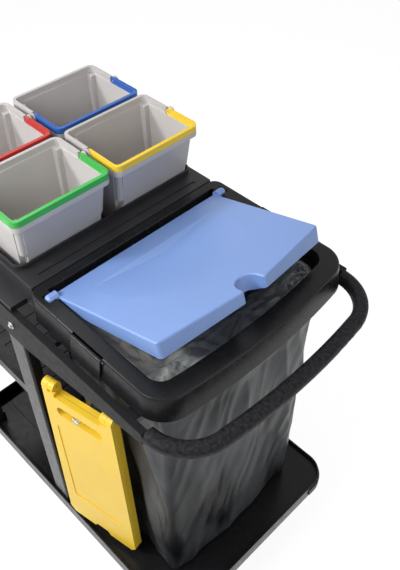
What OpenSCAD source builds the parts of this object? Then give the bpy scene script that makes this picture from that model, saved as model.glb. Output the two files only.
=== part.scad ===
// Janitor cart: a bag bay with a hinged lid at the push-handle end, colour-coded buckets in a tray on the deck
// behind it, an open storage bay below the deck, all on a platform with four swivel castors.
// Frame: X along the cart towards the push handle, Y across, Z up.
// The origin lies on the floor below the middle of the cart. Plan sizes are taken from the lid's hinge line.

/* [Cart] */
// Height of the deck and of the bag ring's top above the floor
deck_z = 1000; // [900:10:1060]
// Width over the corner bumpers
overall_w = 600; // [580:2:640]
// Hinge line forward to the outer edge of the push handle
front_reach = 453; // [440:1:480]
// Hinge line back to the rear bumpers
rear_reach = 500; // [490:1:560]
// Gap left between pieces that move past each other
move_gap = 0.4; // [0.3:0.05:0.6]
// Radial clearance of every pin in its bore
pin_fit = 0.05; // [0.02:0.01:0.1]

/* [Base] */
// How far the bumpers stand proud of the base
bumper_proud = 4; // [3:0.5:8]
// Height of the bumper pads
bumper_h = 26; // [16:1:32]
// Hinge line forward to the base's front edge
base_front = 400; // [380:1:430]
// Thickness of the platform
base_t = 37; // [30:1:50]
// Height of the lip round the platform's top
base_lip = 12; // [8:1:18]
// Wall of the platform moulding
base_wall = 5; // [4:0.5:7]
// Plan radius of the platform's corners
base_r = 62; // [40:1:80]
// Height of the ribbed load panel on the platform
panel_t = 2; // [1:0.5:4]

/* [Castors] */
// Wheel diameter over the tyre
wheel_d = 100; // [90:1:110]
// Tyre width
wheel_w = 28; // [24:1:34]
// Tyre thickness
tyre_t = 11; // [8:0.5:14]
// Height of the base's underside above the floor
castor_h = 130; // [128:1:150]
// King pin to axle, horizontally
castor_trail = 32; // [28:1:38]
// King pin inboard of the base's end
castor_in_x = 92; // [90:1:120]
// King pin inboard of the base's side
castor_in_y = 92; // [90:1:110]
// Radius of the king pin
king_r = 6; // [5:0.5:8]
// Radius of the wheel axle
axle_r = 4; // [3:0.5:5]
// Thickness of the fork's plates
fork_t = 4; // [3:0.5:5]

/* [Posts and shelf] */
// Post size along the cart
post_d = 60; // [50:1:70]
// Post size across the cart
post_t = 28; // [24:1:32]
// Wall of the posts
post_wall = 3.5; // [2.5:0.5:5]
// Hinge line back to the middle of the front posts
post_front = 76; // [70:1:90]
// Rear end of the cart forward to the middle of the rear posts
post_rear = 70; // [60:1:90]
// Height of the shelf's floor above the floor
shelf_z = 540; // [450:10:600]
// Height of the shelf's lip
shelf_lip = 28; // [20:1:40]

/* [Arms and push handle] */
// Thickness of the side arms
arm_t = 15; // [12:1:20]
// Outer width over the side arms
arm_w = 580; // [570:2:590]
// Arm top below the deck's top
arm_drop = 60; // [56:1:70]
// Arm depth over the posts
arm_depth = 90; // [75:1:110]
// Washer radius of the arm bolts
bolt_r = 9; // [7:0.5:11]
// Head height of the arm bolts
bolt_h = 6; // [4:0.5:8]
// Section of the push handle's bar
bar_w = 31; // [28:1:38]
// Edge radius of the bar
bar_r = 13; // [8:0.5:13.5]
// Bow radius of the push bar's outer edge
bar_bow = 1600; // [1200:20:2000]
// Thickness of the grip skin over the bowed bar
grip_t = 0.4; // [0.3:0.1:1]
// Half length of the bowed bar before its corners
bar_half = 190; // [170:1:200]

/* [Bag ring] */
// Width over the ring's top edge
ring_w = 520; // [500:2:524]
// Hinge line back to the ring's rear edge
ring_back = 34; // [30:1:40]
// Hinge line forward to the middle of the ring's front edge
ring_front = 365; // [350:1:372]
// Rise of the bow in the front edge
ring_bow = 13; // [8:1:18]
// Plan radius of the front corners
ring_fr = 58; // [45:1:70]
// Plan radius of the rear corners
ring_rr = 24; // [18:1:30]
// Depth of the ring's skirt
ring_skirt = 57; // [50:1:57]
// Outward draft of the skirt over its depth
ring_draft = 6; // [3:0.5:8]
// Wall of the ring moulding
ring_wall = 4; // [3:0.5:5]
// Top band width along the sides
band_side = 33; // [30:1:38]
// Top band width at the front
band_front = 42; // [36:1:48]
// Depth of the ledge inside the mouth
seat_drop = 33; // [30:0.5:34]
// Width of that ledge
seat_w = 6; // [4:0.5:8]
// Depth of the inner collar that keeps the bag open
collar_drop = 50; // [44:1:54]
// Top of the lower bag holder below the ring's top
holder_drop = 38; // [36:0.5:40]
// Lower bag holder inboard of the ring's edge
holder_in = 14; // [12:0.5:16]
// Width of the lower bag holder's band
holder_wall = 12; // [10:0.5:14]
// Length of the tabs that carry the lower bag holder
tab_len = 30; // [24:1:36]
// Height of those tabs
tab_h = 14; // [10:1:16]
// End of the arms back to the front tabs
tab_in = 59; // [50:1:80]

/* [Side clips] */
// Hinge line forward to the clips
clip_x = 109; // [100:1:120]
// Length of the clips
clip_len = 85; // [70:1:100]
// Thickness of the clip plates
clip_t = 5; // [4:0.5:6]
// How far the clips stand proud of the skirt
clip_proud = 5; // [4:0.5:6]
// Radius of the clip trunnions
trunnion_r = 2.5; // [2:0.1:3]

/* [Lid] */
// Opening angle as drawn
lid_open = 17.4; // [4:0.1:90]
// Angle of the lid's top when closed
lid_shut = 6.7; // [6:0.1:8]
// Width at the hinge end
lid_rear_w = 446; // [420:1:446]
// Width at the front corners
lid_front_w = 424; // [400:1:430]
// Length along the sides
lid_side = 297; // [280:1:300]
// Length along the middle
lid_mid = 326; // [312:1:328]
// Depth of the lid's skirt at the front corners
lid_skirt = 34; // [30:0.5:36]
// Wall of the lid moulding
lid_wall = 3; // [2.5:0.5:4]
// Radius of the lid's top edge
lid_edge = 5; // [3:0.5:7]
// Hinge axis ahead of the hinge line
axis_x = 8; // [6:0.5:12]
// Hinge axis below the ring's top
axis_drop = 6; // [5:0.5:8]
// Radius of the hinge lugs
lug_r = 11; // [9:0.5:12]
// Width of the hinge lugs
lug_w = 22; // [16:1:24]
// Radius of the lid pins
lid_pin_r = 4; // [3:0.5:5]
// Radius of the finger notch
notch_r = 28; // [22:1:32]
// Radius of the shallow recess in the lid's top
dish_r = 170; // [150:1:178]
// Depth of that recess
dish_t = 6; // [4:0.5:8]

/* [Deck] */
// Deck width
deck_w = 497; // [480:1:500]
// Wall of the deck moulding
deck_wall = 4; // [3:0.5:5]
// Depth of the bucket tray
tray_t = 55; // [45:1:65]
// Height of the lip round the tray
tray_lip = 10; // [6:1:14]
// Width of the groove in the ledge
groove_w = 8; // [6:1:10]
// Ends of the groove inboard of the deck's sides
groove_in = 33; // [24:1:50]
// Plan radius of the deck's corners
deck_r = 30; // [24:1:40]
// Plan radius of the deck's corners beside the bag ring
deck_fr = 5; // [4:0.5:8]
// Height of the side flanges that rest on the arms
flange_h = 12; // [8:1:16]

/* [Buckets] */
// Rim width across the cart
rim_w = 236; // [230:1:240]
// Rim depth along the cart
rim_d = 185; // [178:1:192]
// Bucket height
bucket_h = 171; // [160:1:190]
// Bucket wall
bucket_wall = 2.6; // [2:0.2:4]
// Rim overhang
rim_over = 8; // [6:0.5:9]
// Slope of the front and back walls
slope_x = 7.5; // [5:0.5:8]
// Slope of the side walls
slope_y = 3; // [2:0.5:4]
// Height of the rim flange
rim_h = 12; // [8:1:16]
// Corner step of the body
step_c = 15; // [10:1:18]
// Distance between the middles of two buckets across the cart
pitch_y = 260; // [252:1:262]
// How far the left buckets are pushed towards the right ones
bucket_push = 12; // [0:1:14]
// Distance between the middles of the two bucket rows
pitch_x = 196; // [194:1:204]
// Hinge line back to the middle of the front row
row_x = 166; // [164:1:170]
// Section width of the bails
bail_w = 8; // [6:0.5:9]
// Section height of the bails
bail_h = 14; // [11:1:16]
// Radius of the bail pivots
pivot_r = 3; // [2.5:0.1:3.5]

/* [Bag] */
// Film thickness as drawn
bag_wall = 1.5; // [1:0.1:2]
// Inward hang of the bag below the holder
bag_in = 10; // [6:1:16]

/* [Floor sign] */
// Hinge line forward to the middle of the sign
sign_x = 92; // [84:1:100]
// Distance of the sign's middle from the cart's centre plane
sign_y = 266; // [264:1:268]
// Turn of the sign on its peg
sign_turn = 11; // [6:0.5:11]
// Height of the sign
sign_h = 590; // [540:5:600]
// Width of the sign's foot
sign_foot = 220; // [200:1:224]
// Width of the sign's top
sign_top = 190; // [184:1:200]
// Thickness of one leaf
leaf_t = 12.5; // [10:0.5:12.5]
// Height of the grip bar
grip_h = 30; // [24:1:34]
// Height of the hand slot
hand_h = 30; // [28:1:36]
// Length of the hand slot
hand_w = 126; // [110:1:130]
// Height of the grip bar's top above the floor
grip_z = 750; // [720:5:760]
// Radius of the sign's hinge pins
sign_pin_r = 3; // [2:0.5:4]
// Rise of the hinge shoulders above the grip bar
shoulder_h = 36; // [32:1:42]

/* [Hidden] */
$fn = 64;
eps = 0.01;
hx = (rear_reach - front_reach) / 2;
base_w = overall_w - 2 * bumper_proud;
base_back = rear_reach - bumper_proud;
base_z = castor_h + base_t;
castor_pos = [for (x = [base_front - castor_in_x, -base_back + castor_in_x])
  for (y = [-1, 1]) [x, y * (base_w / 2 - castor_in_y)]];
wheel_r = wheel_d / 2;
core_r = wheel_r - tyre_t;
fork_z = wheel_d + 5;
fork_in = wheel_w / 2 + 4;
cup_z = fork_z + 2 * fork_t;
arm_z = deck_z - arm_drop;
arm_foot = arm_z - arm_depth;
arm_in = arm_w / 2 - arm_t;
post_in = arm_w / 2 - post_t;
post_r = 6;
panel_in = 46;
post_xs = [-post_front, -rear_reach + post_rear];
corner_a = asin(bar_half / bar_bow);
corner_r = (arm_w / 2 - bar_half) / (1 - sin(corner_a));
lap_a = 0.1;
bow_cx = front_reach - grip_t - bar_bow;
corner_cx = bow_cx + bar_bow * cos(corner_a) - corner_r * cos(corner_a);
corner_cy = arm_w / 2 - corner_r;
holder_z = deck_z - ring_skirt - 2;
holder_top = deck_z - holder_drop;
tab_xs = [tab_len, corner_cx - tab_in];
bow_y = ring_w / 2 - ring_fr;
bow_r = (bow_y * bow_y + ring_bow * ring_bow) / (2 * ring_bow);
lid_n = 1.1;
lid_tail = 10;
seat_gap = 0.5;
rest_s = lid_mid - 18;
rest_n = (axis_drop + seat_gap - rest_s * sin(lid_shut)) / cos(lid_shut);
nose_rise = (rest_n + lid_skirt) / (rest_s - lid_side);
lug_y = lid_rear_w / 2 - 1;
pocket_y = lug_y + lug_w + 2;
dish_s = lid_side * 0.209;
dish_rear = lid_side * 0.158;
dish_slope = 19;
notch_in = notch_r / 2;
deck_x0 = -rear_reach + 8;
deck_x1 = -ring_back - 2;
arm_edge = 3;
tray_z = deck_z - tray_t;
body_d = rim_d - 2 * rim_over;
body_w = rim_w - 2 * rim_over;
foot_d = body_d - 2 * bucket_h * tan(slope_x);
foot_w = body_w - 2 * bucket_h * tan(slope_y);
tray_gap = 2.5;
ledge_d = foot_d + 2 * (tray_t + tray_lip) * tan(slope_x);
ledge_w = foot_w + 2 * (tray_t + tray_lip) * tan(slope_y);
tray_x1 = -row_x + ledge_d / 2 + tray_gap;
tray_x0 = -row_x - pitch_x - ledge_d / 2 - tray_gap;
tray_half = pitch_y / 2 + ledge_w / 2 + tray_gap;
pivot_z = bucket_h + move_gap + bail_h / 2;
bucket_rows = [-row_x, -row_x - pitch_x];
sign_gap = 0.8;
sign_t = 2 * leaf_t + sign_gap;
hinge_z = grip_z + shoulder_h - sign_t / 2;
peg_w = 20;
peg_t = 4;
peg_z = arm_foot + 12;
clip_drop = 3.5;
clip_r = trunnion_r + 2;
clip_y = ring_w / 2 - clip_t / 2 + clip_proud - 2;
clip_z = deck_z - clip_drop - clip_r;

// Points of an arc about c from angle a to angle b in n steps, from step k0 to step k1
function arc(c, r, a, b, n, k0 = 0, k1 = 1) =
  [for (k = [k0 : n - 1 + k1]) c + r * [cos(a + (b - a) * k / n), sin(a + (b - a) * k / n)]];

// Direction of the normal of the line that touches circle ra about a and circle rb about b
function touch(a, ra, b, rb, s) = atan2(b[1] - a[1], b[0] - a[0]) + s * acos((ra - rb) / norm(b - a));

// Rectangle of two sizes with rounded corners, about the origin
module round_rect(dx, dy, r) {
  square([dx - 2 * r, dy], center = true);
  square([dx, dy - 2 * r], center = true);
  for (x = [-1, 1], y = [-1, 1])
    translate([x * (dx / 2 - r), y * (dy / 2 - r)]) circle(r);
}

// Plain rounded rectangle from x0 to x1 and of half width hy
module round_plan(x0, x1, hy, r) {
  translate([(x0 + x1) / 2, 0]) round_rect(x1 - x0, 2 * hy, r);
}

// Rounded rectangle with a bowed front edge: br is the bow's radius, rf and rr the corner radii
module bow_plan(x0, x1, hy, rf, rr, br) {
  a = asin((hy - rf) / (br - rf));
  cb = [x1 - br, 0];
  cf = [x1 - br + (br - rf) * cos(a), hy - rf];
  cr = [x0 + rr, hy - rr];
  polygon(concat(arc(cb, br, -a, a, 12), arc(cf, rf, a, 90, 9, 1), arc(cr, rr, 90, 180, 8),
    arc([cr[0], -cr[1]], rr, 180, 270, 8), arc([cf[0], -cf[1]], rf, 270, 360 - a, 9, 0, 0)));
}

// The ring's plan grown by g; the rear edge stays upright against the deck
module ring_plan(g) {
  bow_plan(-ring_back - min(g, 0.5), ring_front + g, ring_w / 2 + g, max(ring_fr + g, 2), max(ring_rr + g, 2), bow_r + g);
}

// The opening in the ring, inset by g from the edge of the top band on the sides and the front
module mouth_plan(g) {
  bow_plan(axis_x - 20 + min(g, 0), ring_front - band_front - g, ring_w / 2 - band_side - g, 30 - g / 2, 24, bow_r - g);
}

module base_plan(g) {
  round_plan(-base_back - g, base_front + g, base_w / 2 + g, base_r + g);
}

module base_platform() {
  color([0.17, 0.17, 0.18])
  translate([hx, 0, 0]) {
    difference() {
      translate([0, 0, castor_h]) linear_extrude(base_t + base_lip) base_plan(0);
      translate([0, 0, base_z]) linear_extrude(base_lip + 1) {
        base_plan(-base_wall);
        for (x = post_xs, y = [-1, 1]) translate([x, y * (post_in + post_t / 2)])
          round_rect(post_d + 2 * move_gap, post_t + 2 * move_gap, post_r);
      }
      translate([0, 0, castor_h - 1]) linear_extrude(base_t + 1 - base_wall) difference() {
        base_plan(-base_wall);
        for (p = castor_pos) translate(p) square(100, center = true);
        for (y = [-0.28, 0, 0.28]) translate([-base_back, y * base_w - 2]) square([base_back + base_front, 4]);
        for (x = [-320, -170, 20, 170]) translate([x, -base_w / 2]) square([4, base_w]);
      }
    }
    translate([0, 0, base_z - eps]) linear_extrude(panel_t + eps) difference() {
      round_plan(-base_back + panel_in, -ring_back - 8, post_in - panel_in, 16);
      for (x = [-360 : 60 : -60]) translate([x, 0]) square([10, 2 * (post_in - panel_in) - 60], center = true);
    }
  }
}

module corner_bumpers() {
  color([0.33, 0.34, 0.36])
  translate([hx, 0, castor_h + (base_t - bumper_h) / 2 + 4])
    linear_extrude(bumper_h) intersection() {
      difference() {
        base_plan(bumper_proud);
        base_plan(0);
      }
      for (x = [-base_back, base_front], y = [-1, 1])
        translate([x, y * base_w / 2]) square(2 * base_r + 40, center = true);
    }
}

module castor_mounts() {
  color([0.72, 0.73, 0.75])
  for (p = castor_pos) translate([hx + p[0], p[1], 0]) {
    translate([0, 0, castor_h - 4]) linear_extrude(4) round_rect(88, 72, 8);
    translate([0, 0, cup_z + move_gap]) cylinder(h = castor_h - 4 - cup_z - move_gap, r = 24);
    translate([0, 0, fork_z - 7]) cylinder(h = castor_h - fork_z + 5, r = king_r);
    translate([0, 0, fork_z - 7.4]) cylinder(h = 7, r = king_r + 3);
    for (x = [-34, 34], y = [-27, 27]) translate([x, y, castor_h - 8]) cylinder(h = 5, r = 6.5, $fn = 6);
  }
}

// A castor fork about its king pin, trailing towards -X
module fork() {
  color([0.2, 0.2, 0.21])
  difference() {
    union() {
      translate([0, 0, fork_z]) cylinder(h = 2 * fork_t, r = 27);
      translate([-castor_trail / 2 - 8, 0, fork_z + fork_t / 2 + 2])
        cube([castor_trail + 16, 2 * fork_in + 2 * fork_t, fork_t + 4], center = true);
      for (y = [-fork_in - fork_t, fork_in]) translate([0, y + fork_t, 0]) rotate([90, 0, 0]) linear_extrude(fork_t) {
        polygon([[12, fork_z + 2 * fork_t - 2], [16, fork_z], [-castor_trail + 12, wheel_r - 8],
          [-castor_trail - 12, wheel_r - 8], [-castor_trail - 16, wheel_r + 12], [-castor_trail - 14, fork_z + 6]]);
        translate([-castor_trail, wheel_r]) circle(16);
      }
    }
    translate([0, 0, fork_z - 1]) cylinder(h = 2 * fork_t + 2, r = king_r + pin_fit);
    translate([-castor_trail, 0, wheel_r]) rotate([90, 0, 0])
      cylinder(h = 4 * fork_in, r = axle_r + pin_fit, center = true);
  }
}

module axle() {
  color([0.75, 0.76, 0.78])
  translate([-castor_trail, 0, wheel_r]) rotate([90, 0, 0]) {
    cylinder(h = 2 * (fork_in + fork_t), r = axle_r, center = true);
    translate([0, 0, fork_in + fork_t]) cylinder(h = 5, r = 8, $fn = 6);
    translate([0, 0, -fork_in - fork_t - 5]) cylinder(h = 5, r = 7);
  }
}

module wheel_core() {
  color([0.55, 0.56, 0.58])
  translate([-castor_trail, 0, wheel_r]) rotate([90, 0, 0]) difference() {
    union() {
      rotate_extrude() polygon([[0, -5], [core_r - 8, -5], [core_r - 6, -wheel_w / 2 + 3], [core_r, -wheel_w / 2 + 2],
        [core_r, wheel_w / 2 - 2], [core_r - 6, wheel_w / 2 - 3], [core_r - 8, 5], [0, 5]]);
      cylinder(h = 2 * fork_in - 1, r = 12, center = true);
      for (a = [0 : 60 : 300]) rotate(a) translate([core_r / 2 + 3, 0, 0]) cube([core_r - 12, 4, 18], center = true);
    }
    cylinder(h = 4 * fork_in, r = axle_r + pin_fit, center = true);
  }
}

module tyre() {
  color([0.32, 0.33, 0.35])
  translate([-castor_trail, 0, wheel_r]) rotate([90, 0, 0]) rotate_extrude()
    polygon([[core_r + 0.1, -wheel_w / 2], [wheel_r - 5, -wheel_w / 2], [wheel_r - 1.5, -wheel_w / 2 + 3.5],
      [wheel_r, -wheel_w / 4], [wheel_r, wheel_w / 4], [wheel_r - 1.5, wheel_w / 2 - 3.5],
      [wheel_r - 5, wheel_w / 2], [core_r + 0.1, wheel_w / 2]]);
}

module at_castor(k) {
  translate([hx + castor_pos[k][0], castor_pos[k][1], 0]) children();
}

// A post between the base and an arm, with a foot flange
module post(i, side) {
  h = arm_foot - base_z;
  color([0.16, 0.16, 0.17])
  translate([hx + post_xs[i], side * (post_in + post_t / 2), base_z]) {
    linear_extrude(h) difference() {
      round_rect(post_d, post_t, post_r);
      round_rect(post_d - 2 * post_wall, post_t - 2 * post_wall, 3);
    }
    linear_extrude(5) round_rect(post_d - 2 * post_wall, post_t - 2 * post_wall, 3);
    translate([0, 0, h - 8]) linear_extrude(8) round_rect(post_d - 2 * post_wall, post_t - 2 * post_wall, 3);
    translate([0, -side * (post_t / 2 + 3), 0]) linear_extrude(30) square([post_d - 12, 6 + eps], center = true);
    translate([0, -side * (post_t / 2 + 3), shelf_z - base_z - 20]) linear_extrude(14)
      square([post_d - 12, 6 + eps], center = true);
  }
}

module shelf() {
  x0 = -rear_reach + 16;
  x1 = -ring_back - 8;
  color([0.19, 0.19, 0.2])
  translate([hx, 0, shelf_z - 6]) difference() {
    linear_extrude(shelf_lip + 6) round_plan(x0, x1, post_in, 26);
    translate([0, 0, 6]) linear_extrude(shelf_lip + 1) round_plan(x0 + 4, x1 - 4, post_in - 4, 22);
    for (x = [x0 + 60 : 44 : x1 - 50]) translate([x, 0, 4]) linear_extrude(4) square([9, 2 * post_in - 90], center = true);
  }
}

// Plan of the deck, grown by g
module deck_plan(g) {
  round_plan(deck_x0 - g, deck_x1 + g, deck_w / 2 + g, deck_r + g);
  round_plan(deck_x0 + 2 * deck_r, deck_x1 + g, deck_w / 2 + g, max(deck_fr + g, 0.6));
}

module deck() {
  skirt = arm_drop;
  color([0.16, 0.16, 0.17])
  translate([hx, 0, 0]) {
    difference() {
      union() {
        translate([0, 0, deck_z - skirt]) linear_extrude(skirt - 3) deck_plan(0);
        hull() {
          translate([0, 0, deck_z - 3.1]) linear_extrude(0.1) deck_plan(0);
          translate([0, 0, deck_z - 0.9]) linear_extrude(0.1) deck_plan(-0.9);
          translate([0, 0, deck_z - 0.1]) linear_extrude(0.1) deck_plan(-3);
        }
        translate([0, 0, deck_z - 1]) linear_extrude(tray_lip + 1)
          round_plan(tray_x0 - deck_wall, tray_x1 + deck_wall, tray_half + deck_wall, 24);
        translate([deck_x0 + deck_r, -arm_w / 2 + arm_edge, deck_z - skirt])
          cube([deck_x1 - deck_x0 - 2 * deck_r, arm_w - 2 * arm_edge, flange_h]);
      }
      translate([0, 0, tray_z]) linear_extrude(tray_t + tray_lip + 1) round_plan(tray_x0, tray_x1, tray_half, 20);
      translate([0, 0, deck_z - skirt - 1]) linear_extrude(skirt + 1 - deck_wall) difference() {
        deck_plan(-deck_wall);
        round_plan(tray_x0 - deck_wall, tray_x1 + deck_wall, tray_half + deck_wall, 24);
      }
      translate([0, 0, deck_z - skirt - 1]) linear_extrude(skirt + 1 - tray_t - deck_wall)
        round_plan(tray_x0, tray_x1, tray_half, 20);
      translate([(tray_x1 + deck_x1) / 2 + 8, 0, deck_z - 2]) linear_extrude(3) round_rect(groove_w, deck_w - 2 * groove_in, groove_w / 2 - eps);
    }
  }
}

module arm(side) {
  color([0.15, 0.15, 0.16])
  translate([hx, side > 0 ? arm_w / 2 : -arm_in, 0]) rotate([90, 0, 0]) linear_extrude(arm_t) difference() {
    polygon([[-rear_reach + 10, arm_foot + 14], [-rear_reach + 24, arm_foot], [-post_front + post_d / 2 + 8, arm_foot],
      [corner_cx, arm_z - bar_w], [corner_cx, arm_z], [-rear_reach + 24, arm_z], [-rear_reach + 10, arm_z - 14]]);
    translate([(post_xs[0] + post_xs[1]) / 2, arm_z - arm_depth / 2]) round_rect(220, 24, 11.9);
  }
}

module arm_bolts() {
  color([0.72, 0.73, 0.75])
  for (x = post_xs, y = [-1, 1]) translate([hx + x, y * arm_w / 2, arm_z - arm_depth / 2]) rotate([-90 * y, 0, 0]) {
    cylinder(h = bolt_h * 0.4, r = bolt_r);
    cylinder(h = bolt_h, r = bolt_r * 0.6, $fn = 6);
  }
}

// Section of the push bar about its own middle, grown by g
module bar_section(g) {
  round_rect(bar_w + 2 * g, bar_w + 2 * g, bar_r + g);
}

module push_handle() {
  zc = arm_z - bar_w / 2;
  color([0.14, 0.14, 0.15])
  translate([hx, 0, 0]) {
    translate([bow_cx, 0, zc]) rotate(-corner_a - lap_a) rotate_extrude(angle = 2 * (corner_a + lap_a), $fn = 360)
      translate([bar_bow - bar_w / 2, 0]) bar_section(grip_t);
    for (y = [-1, 1]) translate([corner_cx, y * corner_cy, zc]) rotate(y > 0 ? corner_a : -90)
      rotate_extrude(angle = 90 - corner_a, $fn = 120) translate([corner_r - bar_w / 2, 0]) bar_section(0);
  }
}

module bag_holder() {
  color([0.16, 0.16, 0.17])
  translate([hx, 0, 0]) difference() {
    union() {
      translate([0, 0, holder_z]) linear_extrude(holder_top - holder_z) ring_plan(-holder_in);
      for (x = tab_xs) {
        translate([x, -arm_in, holder_z - 2 - tab_h]) cube([tab_len, 2 * arm_in, tab_h]);
        translate([x, -ring_w / 2 + holder_in, holder_z - 4]) cube([tab_len, ring_w - 2 * holder_in, 8]);
      }
    }
    translate([0, 0, holder_z - 20]) linear_extrude(holder_top - holder_z + 30) ring_plan(-holder_in - holder_wall);
  }
}

module bag_skin(g) {
  d = -holder_in - holder_wall - move_gap - g;
  hull() {
    translate([0, 0, holder_top - 6 + g]) linear_extrude(0.2) ring_plan(d);
    translate([0, 0, holder_z - 120]) linear_extrude(0.2) ring_plan(d - bag_in * 0.6);
    translate([0, 0, base_z + 150]) linear_extrude(0.2) ring_plan(d - bag_in);
    translate([0, 0, base_z + 40 + g]) linear_extrude(0.2) ring_plan(d - bag_in - 6);
    translate([0, 0, base_z + 10 + g]) linear_extrude(0.2) ring_plan(d - bag_in - 22);
    translate([0, 0, base_z + g + 0.3]) linear_extrude(0.2) ring_plan(d - bag_in - 44);
  }
}

module bag() {
  color([0.72, 0.75, 0.77, 0.4])
  translate([hx, 0, 0]) difference() {
    bag_skin(0);
    bag_skin(bag_wall);
  }
}

module bag_ring() {
  lip = holder_top + move_gap;
  seat_z = max(deck_z - seat_drop - ring_wall, lip);
  color([0.17, 0.17, 0.18])
  translate([hx, 0, 0]) difference() {
    union() {
      difference() {
        hull() {
          translate([0, 0, deck_z - ring_skirt]) linear_extrude(0.1) ring_plan(ring_draft);
          translate([0, 0, deck_z - 6]) linear_extrude(0.1) ring_plan(0);
          translate([0, 0, deck_z - 3]) linear_extrude(0.1) ring_plan(-0.8);
          translate([0, 0, deck_z - 1]) linear_extrude(0.1) ring_plan(-2.6);
          translate([0, 0, deck_z - 0.1]) linear_extrude(0.1) ring_plan(-5.5);
        }
        hull() {
          translate([0, 0, deck_z - ring_skirt - 1]) linear_extrude(0.1) ring_plan(ring_draft - ring_wall);
          translate([0, 0, deck_z - ring_wall - 3]) linear_extrude(0.1) ring_plan(-ring_wall);
          translate([0, 0, deck_z - ring_wall]) linear_extrude(0.1) ring_plan(-ring_wall - 3);
        }
      }
      translate([0, 0, seat_z]) linear_extrude(deck_z - 1 - seat_z) mouth_plan(-ring_wall);
      translate([0, 0, deck_z - collar_drop]) linear_extrude(collar_drop - seat_drop) mouth_plan(seat_w - ring_wall);
      translate([0, 0, lip]) linear_extrude(deck_z - lip - 2) difference() {
        ring_plan(-holder_in - 3);
        ring_plan(-holder_in - 7);
      }
      for (y = [-1, 1]) {
        translate([axis_x - 12, y * (pocket_y + 4) - 4, deck_z - axis_drop - 10]) cube([24, 8, axis_drop + 9]);
        for (x = [clip_x - 11, clip_x + clip_len + 1])
          translate([x, y * clip_y - clip_r - 1, clip_z - clip_r - 1]) cube([10, 2 * clip_r, 2 * clip_r + 1]);
      }
    }
    translate([0, 0, deck_z - seat_drop]) linear_extrude(seat_drop + 1) mouth_plan(0);
    translate([0, 0, deck_z - collar_drop - 1]) linear_extrude(collar_drop + 2) mouth_plan(seat_w);
    translate([axis_x - 20, -ring_w / 2 + band_side, deck_z - collar_drop - 1])
      cube([20 + lid_tail + 8, ring_w - 2 * band_side, collar_drop + 2]);
    for (y = [-1, 1]) {
      translate([axis_x, y * (pocket_y + lug_y - 6) / 2, deck_z - axis_drop]) rotate([90, 0, 0])
        cylinder(h = pocket_y - lug_y + 6, r = lug_r + 2.5, center = true);
      translate([axis_x, y * pocket_y, deck_z - axis_drop]) rotate([90, 0, 0])
        cylinder(h = 2 * (lug_w + 10), r = lid_pin_r + pin_fit / 2, center = true);
      translate([clip_x - 1, y * (clip_y - clip_r + 11) - 12, deck_z - ring_skirt - 1]) cube([clip_len + 2, 24, ring_skirt + 2]);
      translate([clip_x - 8, y * clip_y, clip_z]) rotate([0, 90, 0]) cylinder(h = clip_len + 16, r = trunnion_r + pin_fit);
    }
  }
}

// A side clip on its trunnions, hanging down over the edge of the bag
module clip(side) {
  foot = deck_z - ring_skirt + 1 - clip_z;
  color([0.14, 0.14, 0.15])
  translate([hx + clip_x, side * clip_y, clip_z]) {
    rotate([0, 90, 0]) cylinder(h = clip_len, r = clip_r);
    translate([-7, 0, 0]) rotate([0, 90, 0]) cylinder(h = clip_len + 14, r = trunnion_r);
    rotate([90, 0, 90]) linear_extrude(clip_len) polygon([[side * -1.5, 0], [side * clip_r, 0],
      [side * (clip_r + ring_draft), foot], [side * (clip_r + ring_draft - clip_t), foot],
      [side * (clip_r - clip_t - 1), -clip_r - 4]]);
    for (x = [clip_len * 0.2, clip_len * 0.5, clip_len * 0.8]) translate([x - 2, 0, 0])
      rotate([90, 0, 90]) linear_extrude(4) polygon([[0, -2], [side * clip_r, -2],
        [side * (clip_r + ring_draft), foot + 1], [side * (clip_r - 6), foot + 1]]);
  }
}

module lid_pins() {
  color([0.62, 0.63, 0.65])
  for (y = [-1, 1]) translate([hx + axis_x, y * (lug_y + 2 + (lug_w + 6) / 2), deck_z - axis_drop]) rotate([90, 0, 0])
    cylinder(h = lug_w + 6, r = lid_pin_r, center = true);
}

// Plan of the lid in its own plane, grown by g
module lid_plan(g) {
  rn = 60;
  rf = 9;
  rr = 3;
  cn = [lid_mid - rn, 0];
  cf = [lid_side - rf, lid_front_w / 2 - rf];
  cr = [-lid_tail + rr, lid_rear_w / 2 - rr];
  a = touch(cf, rf, cn, rn, 1);
  b = touch(cf, rf, cr, rr, -1);
  polygon(concat(arc(cn, rn + g, -a, a, 6), arc(cf, rf + g, a, b, 8), arc(cr, rr + g, b, 180, 4),
    arc([cr[0], -cr[1]], rr + g, 180, 360 - b, 4), arc([cf[0], -cf[1]], rf + g, 360 - b, 360 - a, 8)));
}

// Everything that can lie below the lid's top: at the nose the foot of the skirt rises to rest on the ring's front
// band when the lid is shut, and along the sides it hangs down inside the mouth
module lid_wedge(top) {
  rotate([90, 0, 0]) linear_extrude(lid_rear_w + 20, center = true)
    polygon([[-lid_tail - 5, top], [lid_mid + 10, top], [lid_mid + 10, nose_rise * (lid_mid + 10 - lid_side) - lid_skirt],
      [lid_side, -lid_skirt], [lid_side * 0.23, -lid_skirt * 0.8], [lid_tail + 5, -4], [-lid_tail - 5, -4]]);
}

// The recess in the lid's top: a flat cone, cut off along a sloping line near the hinge
module dish_solid() {
  intersection() {
    translate([dish_s, 0, lid_n - dish_t]) cylinder(h = 2 * dish_t, r1 = 0, r2 = 2 * dish_r, $fn = 128);
    rotate([90, 0, 0]) linear_extrude(lid_rear_w, center = true)
      polygon([[dish_rear - dish_slope / dish_t, lid_n + 1], [dish_rear + dish_slope, lid_n - dish_t],
        [lid_mid, lid_n - dish_t], [lid_mid, lid_n + 1]]);
  }
}

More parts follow.
